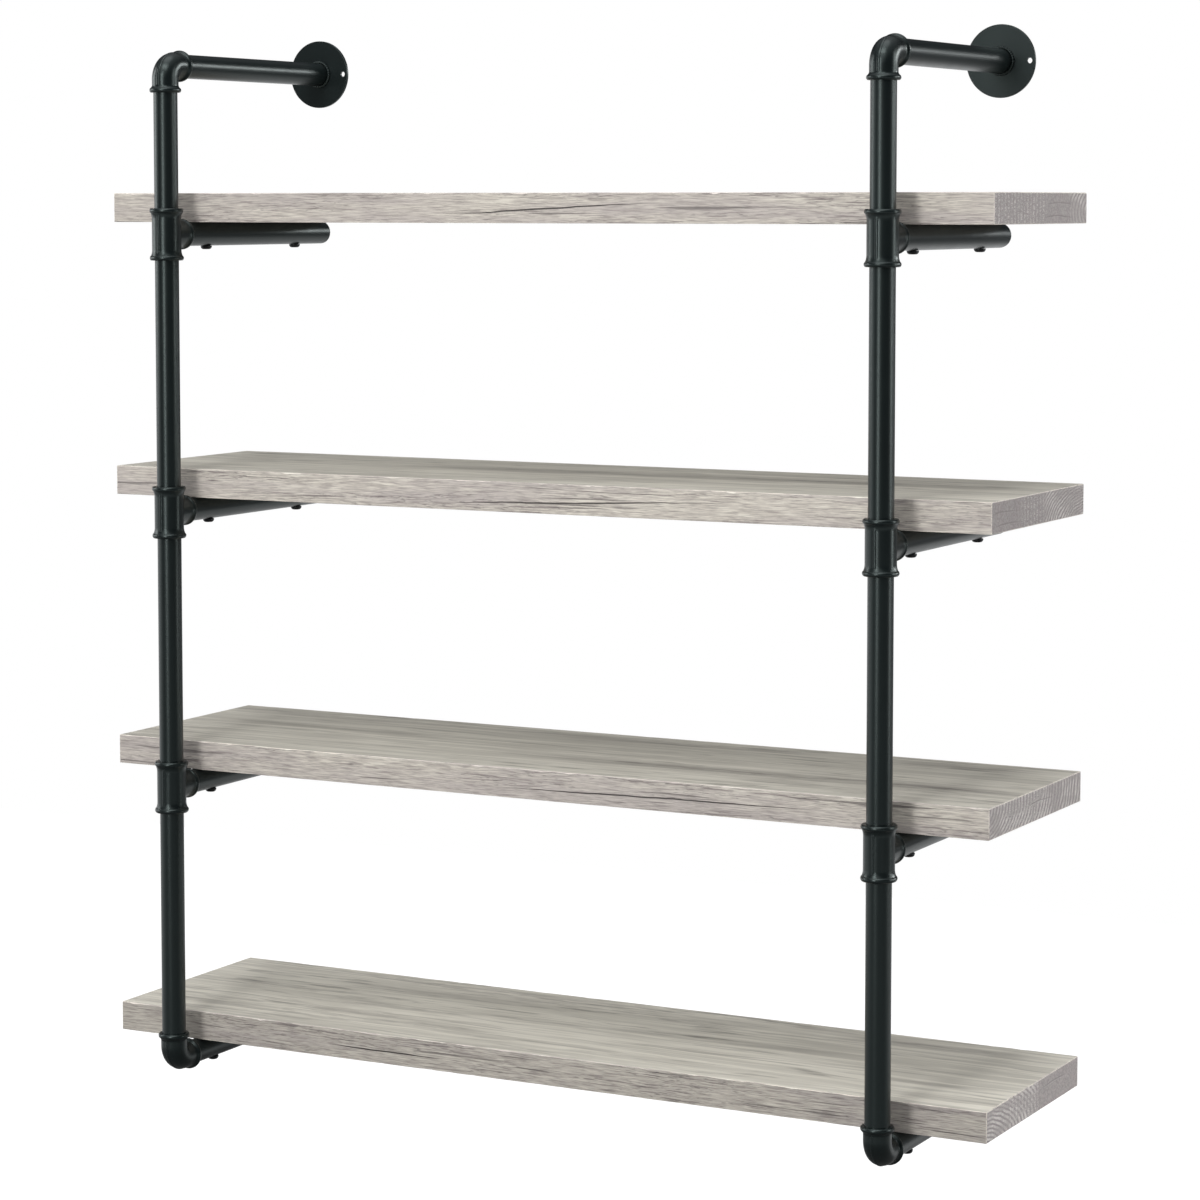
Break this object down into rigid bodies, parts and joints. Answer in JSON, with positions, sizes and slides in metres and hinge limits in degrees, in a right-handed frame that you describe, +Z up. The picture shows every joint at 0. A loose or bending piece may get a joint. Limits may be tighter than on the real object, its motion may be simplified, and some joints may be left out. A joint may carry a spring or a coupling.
{
  "type": "wall bookshelf",
  "caption": "Open wall shelf of level wood-look boards on black tube frames with cast fittings, hung from round wall flanges.",
  "frame": {"origin": "on the wall plane, midway between the two wall flanges, at the height of the top tubes' axes", "axes": "+X along the boards to the viewer's right, +Y into the wall, +Z up"},
  "size_m": [1.016, 0.323, 1.118],
  "materials": {
    "board_wood": "weathered grey-oak laminate",
    "tube_paint": "satin black paint",
    "fitting_paint": "satin black paint on cast iron",
    "weld_paint": "satin black paint over a weld bead",
    "bolt_steel": "black oxide",
    "insert_steel": "zinc plated",
    "plug_plastic": "matte black"
  },
  "bodies": {
    "root": {"left_wall_flange": "tube_paint", "left_flange_weld": "weld_paint", "left_top_pipe": "tube_paint", "left_top_elbow": "fitting_paint", "left_upright_1": "tube_paint", "left_upright_2": "tube_paint", "left_upright_3": "tube_paint", "left_upright_4": "tube_paint", "left_tee_1": "fitting_paint", "left_tee_2": "fitting_paint", "left_tee_3": "fitting_paint", "left_bottom_elbow": "fitting_paint", "left_arm_1": "tube_paint", "left_arm_plug_1": "plug_plastic", "left_arm_2": "tube_paint", "left_arm_plug_2": "plug_plastic", "left_arm_3": "tube_paint", "left_arm_plug_3": "plug_plastic", "left_arm_4": "tube_paint", "left_arm_plug_4": "plug_plastic", "right_wall_flange": "tube_paint", "right_flange_weld": "weld_paint", "right_top_pipe": "tube_paint", "right_top_elbow": "fitting_paint", "right_upright_1": "tube_paint", "right_upright_2": "tube_paint", "right_upright_3": "tube_paint", "right_upright_4": "tube_paint", "right_tee_1": "fitting_paint", "right_tee_2": "fitting_paint", "right_tee_3": "fitting_paint", "right_bottom_elbow": "fitting_paint", "right_arm_1": "tube_paint", "right_arm_plug_1": "plug_plastic", "right_arm_2": "tube_paint", "right_arm_plug_2": "plug_plastic", "right_arm_3": "tube_paint", "right_arm_plug_3": "plug_plastic", "right_arm_4": "tube_paint", "right_arm_plug_4": "plug_plastic", "shelf_1": "board_wood", "shelf_1_bolts": "bolt_steel", "shelf_1_inserts": "insert_steel", "shelf_2": "board_wood", "shelf_2_bolts": "bolt_steel", "shelf_2_inserts": "insert_steel", "shelf_3": "board_wood", "shelf_3_bolts": "bolt_steel", "shelf_3_inserts": "insert_steel", "shelf_4": "board_wood", "shelf_4_bolts": "bolt_steel", "shelf_4_inserts": "insert_steel"}
  },
  "joints": []
}
